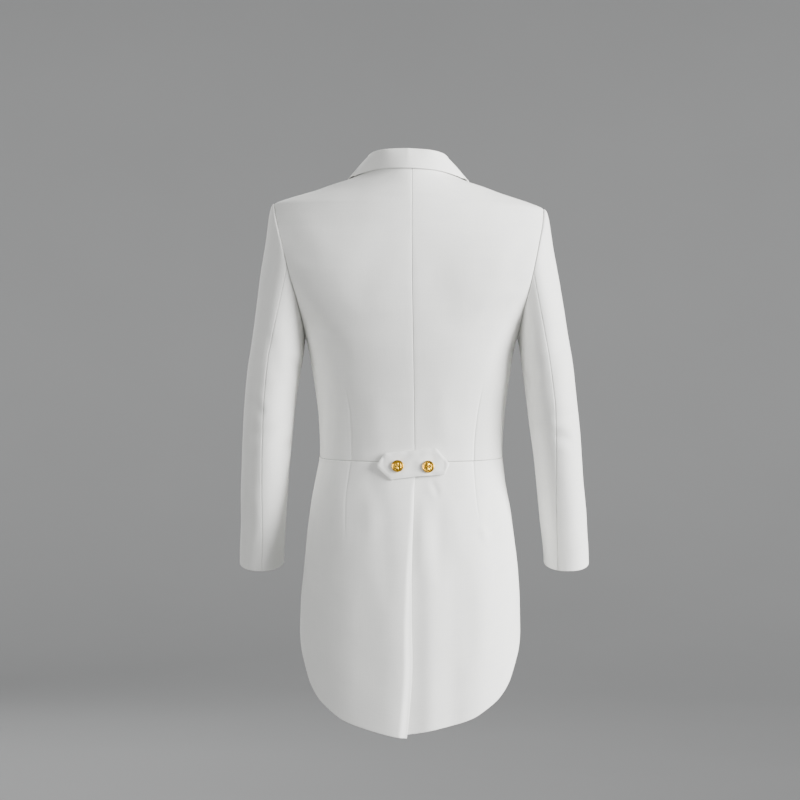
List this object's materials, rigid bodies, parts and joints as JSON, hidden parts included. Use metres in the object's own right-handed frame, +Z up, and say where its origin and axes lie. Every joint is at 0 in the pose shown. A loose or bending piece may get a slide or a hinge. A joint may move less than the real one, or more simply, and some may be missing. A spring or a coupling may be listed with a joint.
{
  "type": "tailcoat",
  "caption": "Hollow tailcoat as worn: fitted body, peak lapels, seamed sleeves, buttoned back tab over the waist seam, and rounded tails lapped at a centre vent.",
  "frame": {"origin": "middle of the neck's base, at the height of the coat's neck seam, where the wearer holds it up", "axes": "+Z up along the wearer's neck, the coat's front faces -Y, the wearer's left is +X"},
  "size_m": [0.5825, 0.2719, 0.9487],
  "materials": {
    "suiting": "white plain-weave wool-blend suiting, matt",
    "button_gold": "gold-plated brass, pressed, with a polished rim"
  },
  "bodies": {
    "root": {"back_left": "suiting", "back_right": "suiting", "back_tab": "suiting", "collar": "suiting", "front_left": "suiting", "front_right": "suiting", "lapel_left": "suiting", "lapel_right": "suiting", "sleeve_under_left": "suiting", "sleeve_under_right": "suiting", "sleeve_upper_left": "suiting", "sleeve_upper_right": "suiting", "tab_button_left": "button_gold", "tab_button_right": "button_gold", "tail_left": "suiting", "tail_right": "suiting"}
  },
  "joints": []
}
